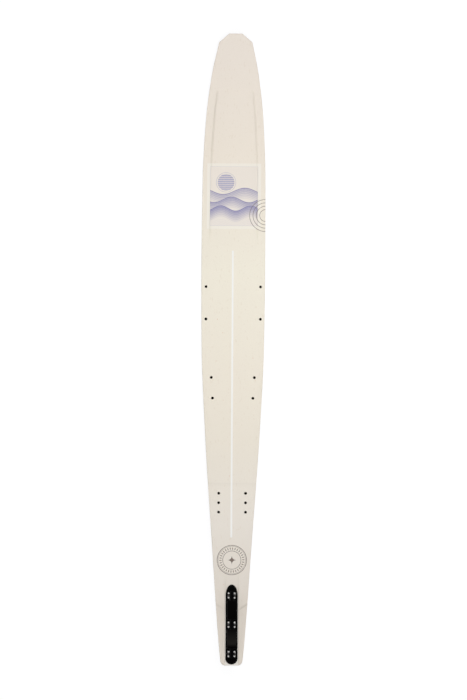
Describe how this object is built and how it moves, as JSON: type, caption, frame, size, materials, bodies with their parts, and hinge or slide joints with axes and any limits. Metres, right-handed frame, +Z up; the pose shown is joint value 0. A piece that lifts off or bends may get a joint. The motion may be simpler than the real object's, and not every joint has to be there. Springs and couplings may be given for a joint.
{
  "type": "slalom water ski",
  "caption": "Bare slalom water ski with a rockered laminated body, squared nose, threaded binding inserts and an adjustable tail fin block with its fin.",
  "frame": {"origin": "middle of the bounding box's bottom: under the ski's middle, on the level surface that the fin and the forebody's base stand on", "axes": "+Y toward the tip, +Z up with the deck upward, +X to the right seen from above with the tip away"},
  "size_m": [0.1712, 1.6994, 0.0957],
  "materials": {
    "topsheet": "satin cream topsheet with fine brown paper-like flecks, a printed lavender panel and thin grey-brown line ornament",
    "laminate": "translucent glass fibre laminate",
    "core": "raw foam core",
    "sidewall": "satin cream sidewall",
    "base": "semi-gloss lavender-grey base",
    "plate": "brown phenolic sheet",
    "liner": "moulded black plastic",
    "insert_brass": "machined brass",
    "anodised_black": "satin black anodised aluminium",
    "aluminium": "brushed clear anodised aluminium",
    "screw_steel": "dark stainless steel"
  },
  "bodies": {
    "ski": {"topsheet": "topsheet", "top_laminate": "laminate", "base_laminate": "laminate", "core": "core", "base_sheet": "base", "sidewall_left": "sidewall", "sidewall_right": "sidewall", "nose_block": "sidewall", "tail_block": "sidewall", "fin_insert_plate": "plate", "fin_slot_liner": "liner", "front_insert_plate": "plate", "front_binding_insert_1": "insert_brass", "front_binding_insert_2": "insert_brass", "front_binding_insert_3": "insert_brass", "front_binding_insert_4": "insert_brass", "mid_insert_plate": "plate", "mid_binding_insert_1": "insert_brass", "mid_binding_insert_2": "insert_brass", "mid_binding_insert_3": "insert_brass", "mid_binding_insert_4": "insert_brass", "rear_insert_plate": "plate", "rear_binding_insert_1": "insert_brass", "rear_binding_insert_2": "insert_brass", "rear_binding_insert_3": "insert_brass", "rear_binding_insert_4": "insert_brass", "rear_binding_insert_5": "insert_brass", "rear_binding_insert_6": "insert_brass", "fin_insert_1": "insert_brass", "fin_block_screw_1": "screw_steel", "fin_insert_2": "insert_brass", "fin_block_screw_2": "screw_steel", "fin_insert_3": "insert_brass", "fin_block_screw_3": "screw_steel", "fin_insert_4": "insert_brass", "fin_block_screw_4": "screw_steel", "fin_insert_5": "insert_brass", "fin_block_screw_5": "screw_steel", "fin_insert_6": "insert_brass", "fin_block_screw_6": "screw_steel"},
    "fin_block": {"fin_block": "anodised_black", "fin_clamp_bar_front": "aluminium", "fin_clamp_bar_rear": "aluminium", "fin_clamp_screw_1": "screw_steel", "fin_clamp_screw_2": "screw_steel", "fin_clamp_screw_3": "screw_steel", "fin_clamp_screw_4": "screw_steel"},
    "fin": {"fin": "aluminium"}
  },
  "joints": [
    {"name": "fin_block_slide", "type": "slide", "parent": "ski", "child": "fin_block", "axis": [0, 0.9958, -0.0912], "range_m": [-0.006, 0.006]},
    {"name": "fin_depth", "type": "slide", "parent": "fin_block", "child": "fin", "axis": [0, 0.0912, 0.9958], "range_m": [-0.0015, 0.0015]}
  ]
}
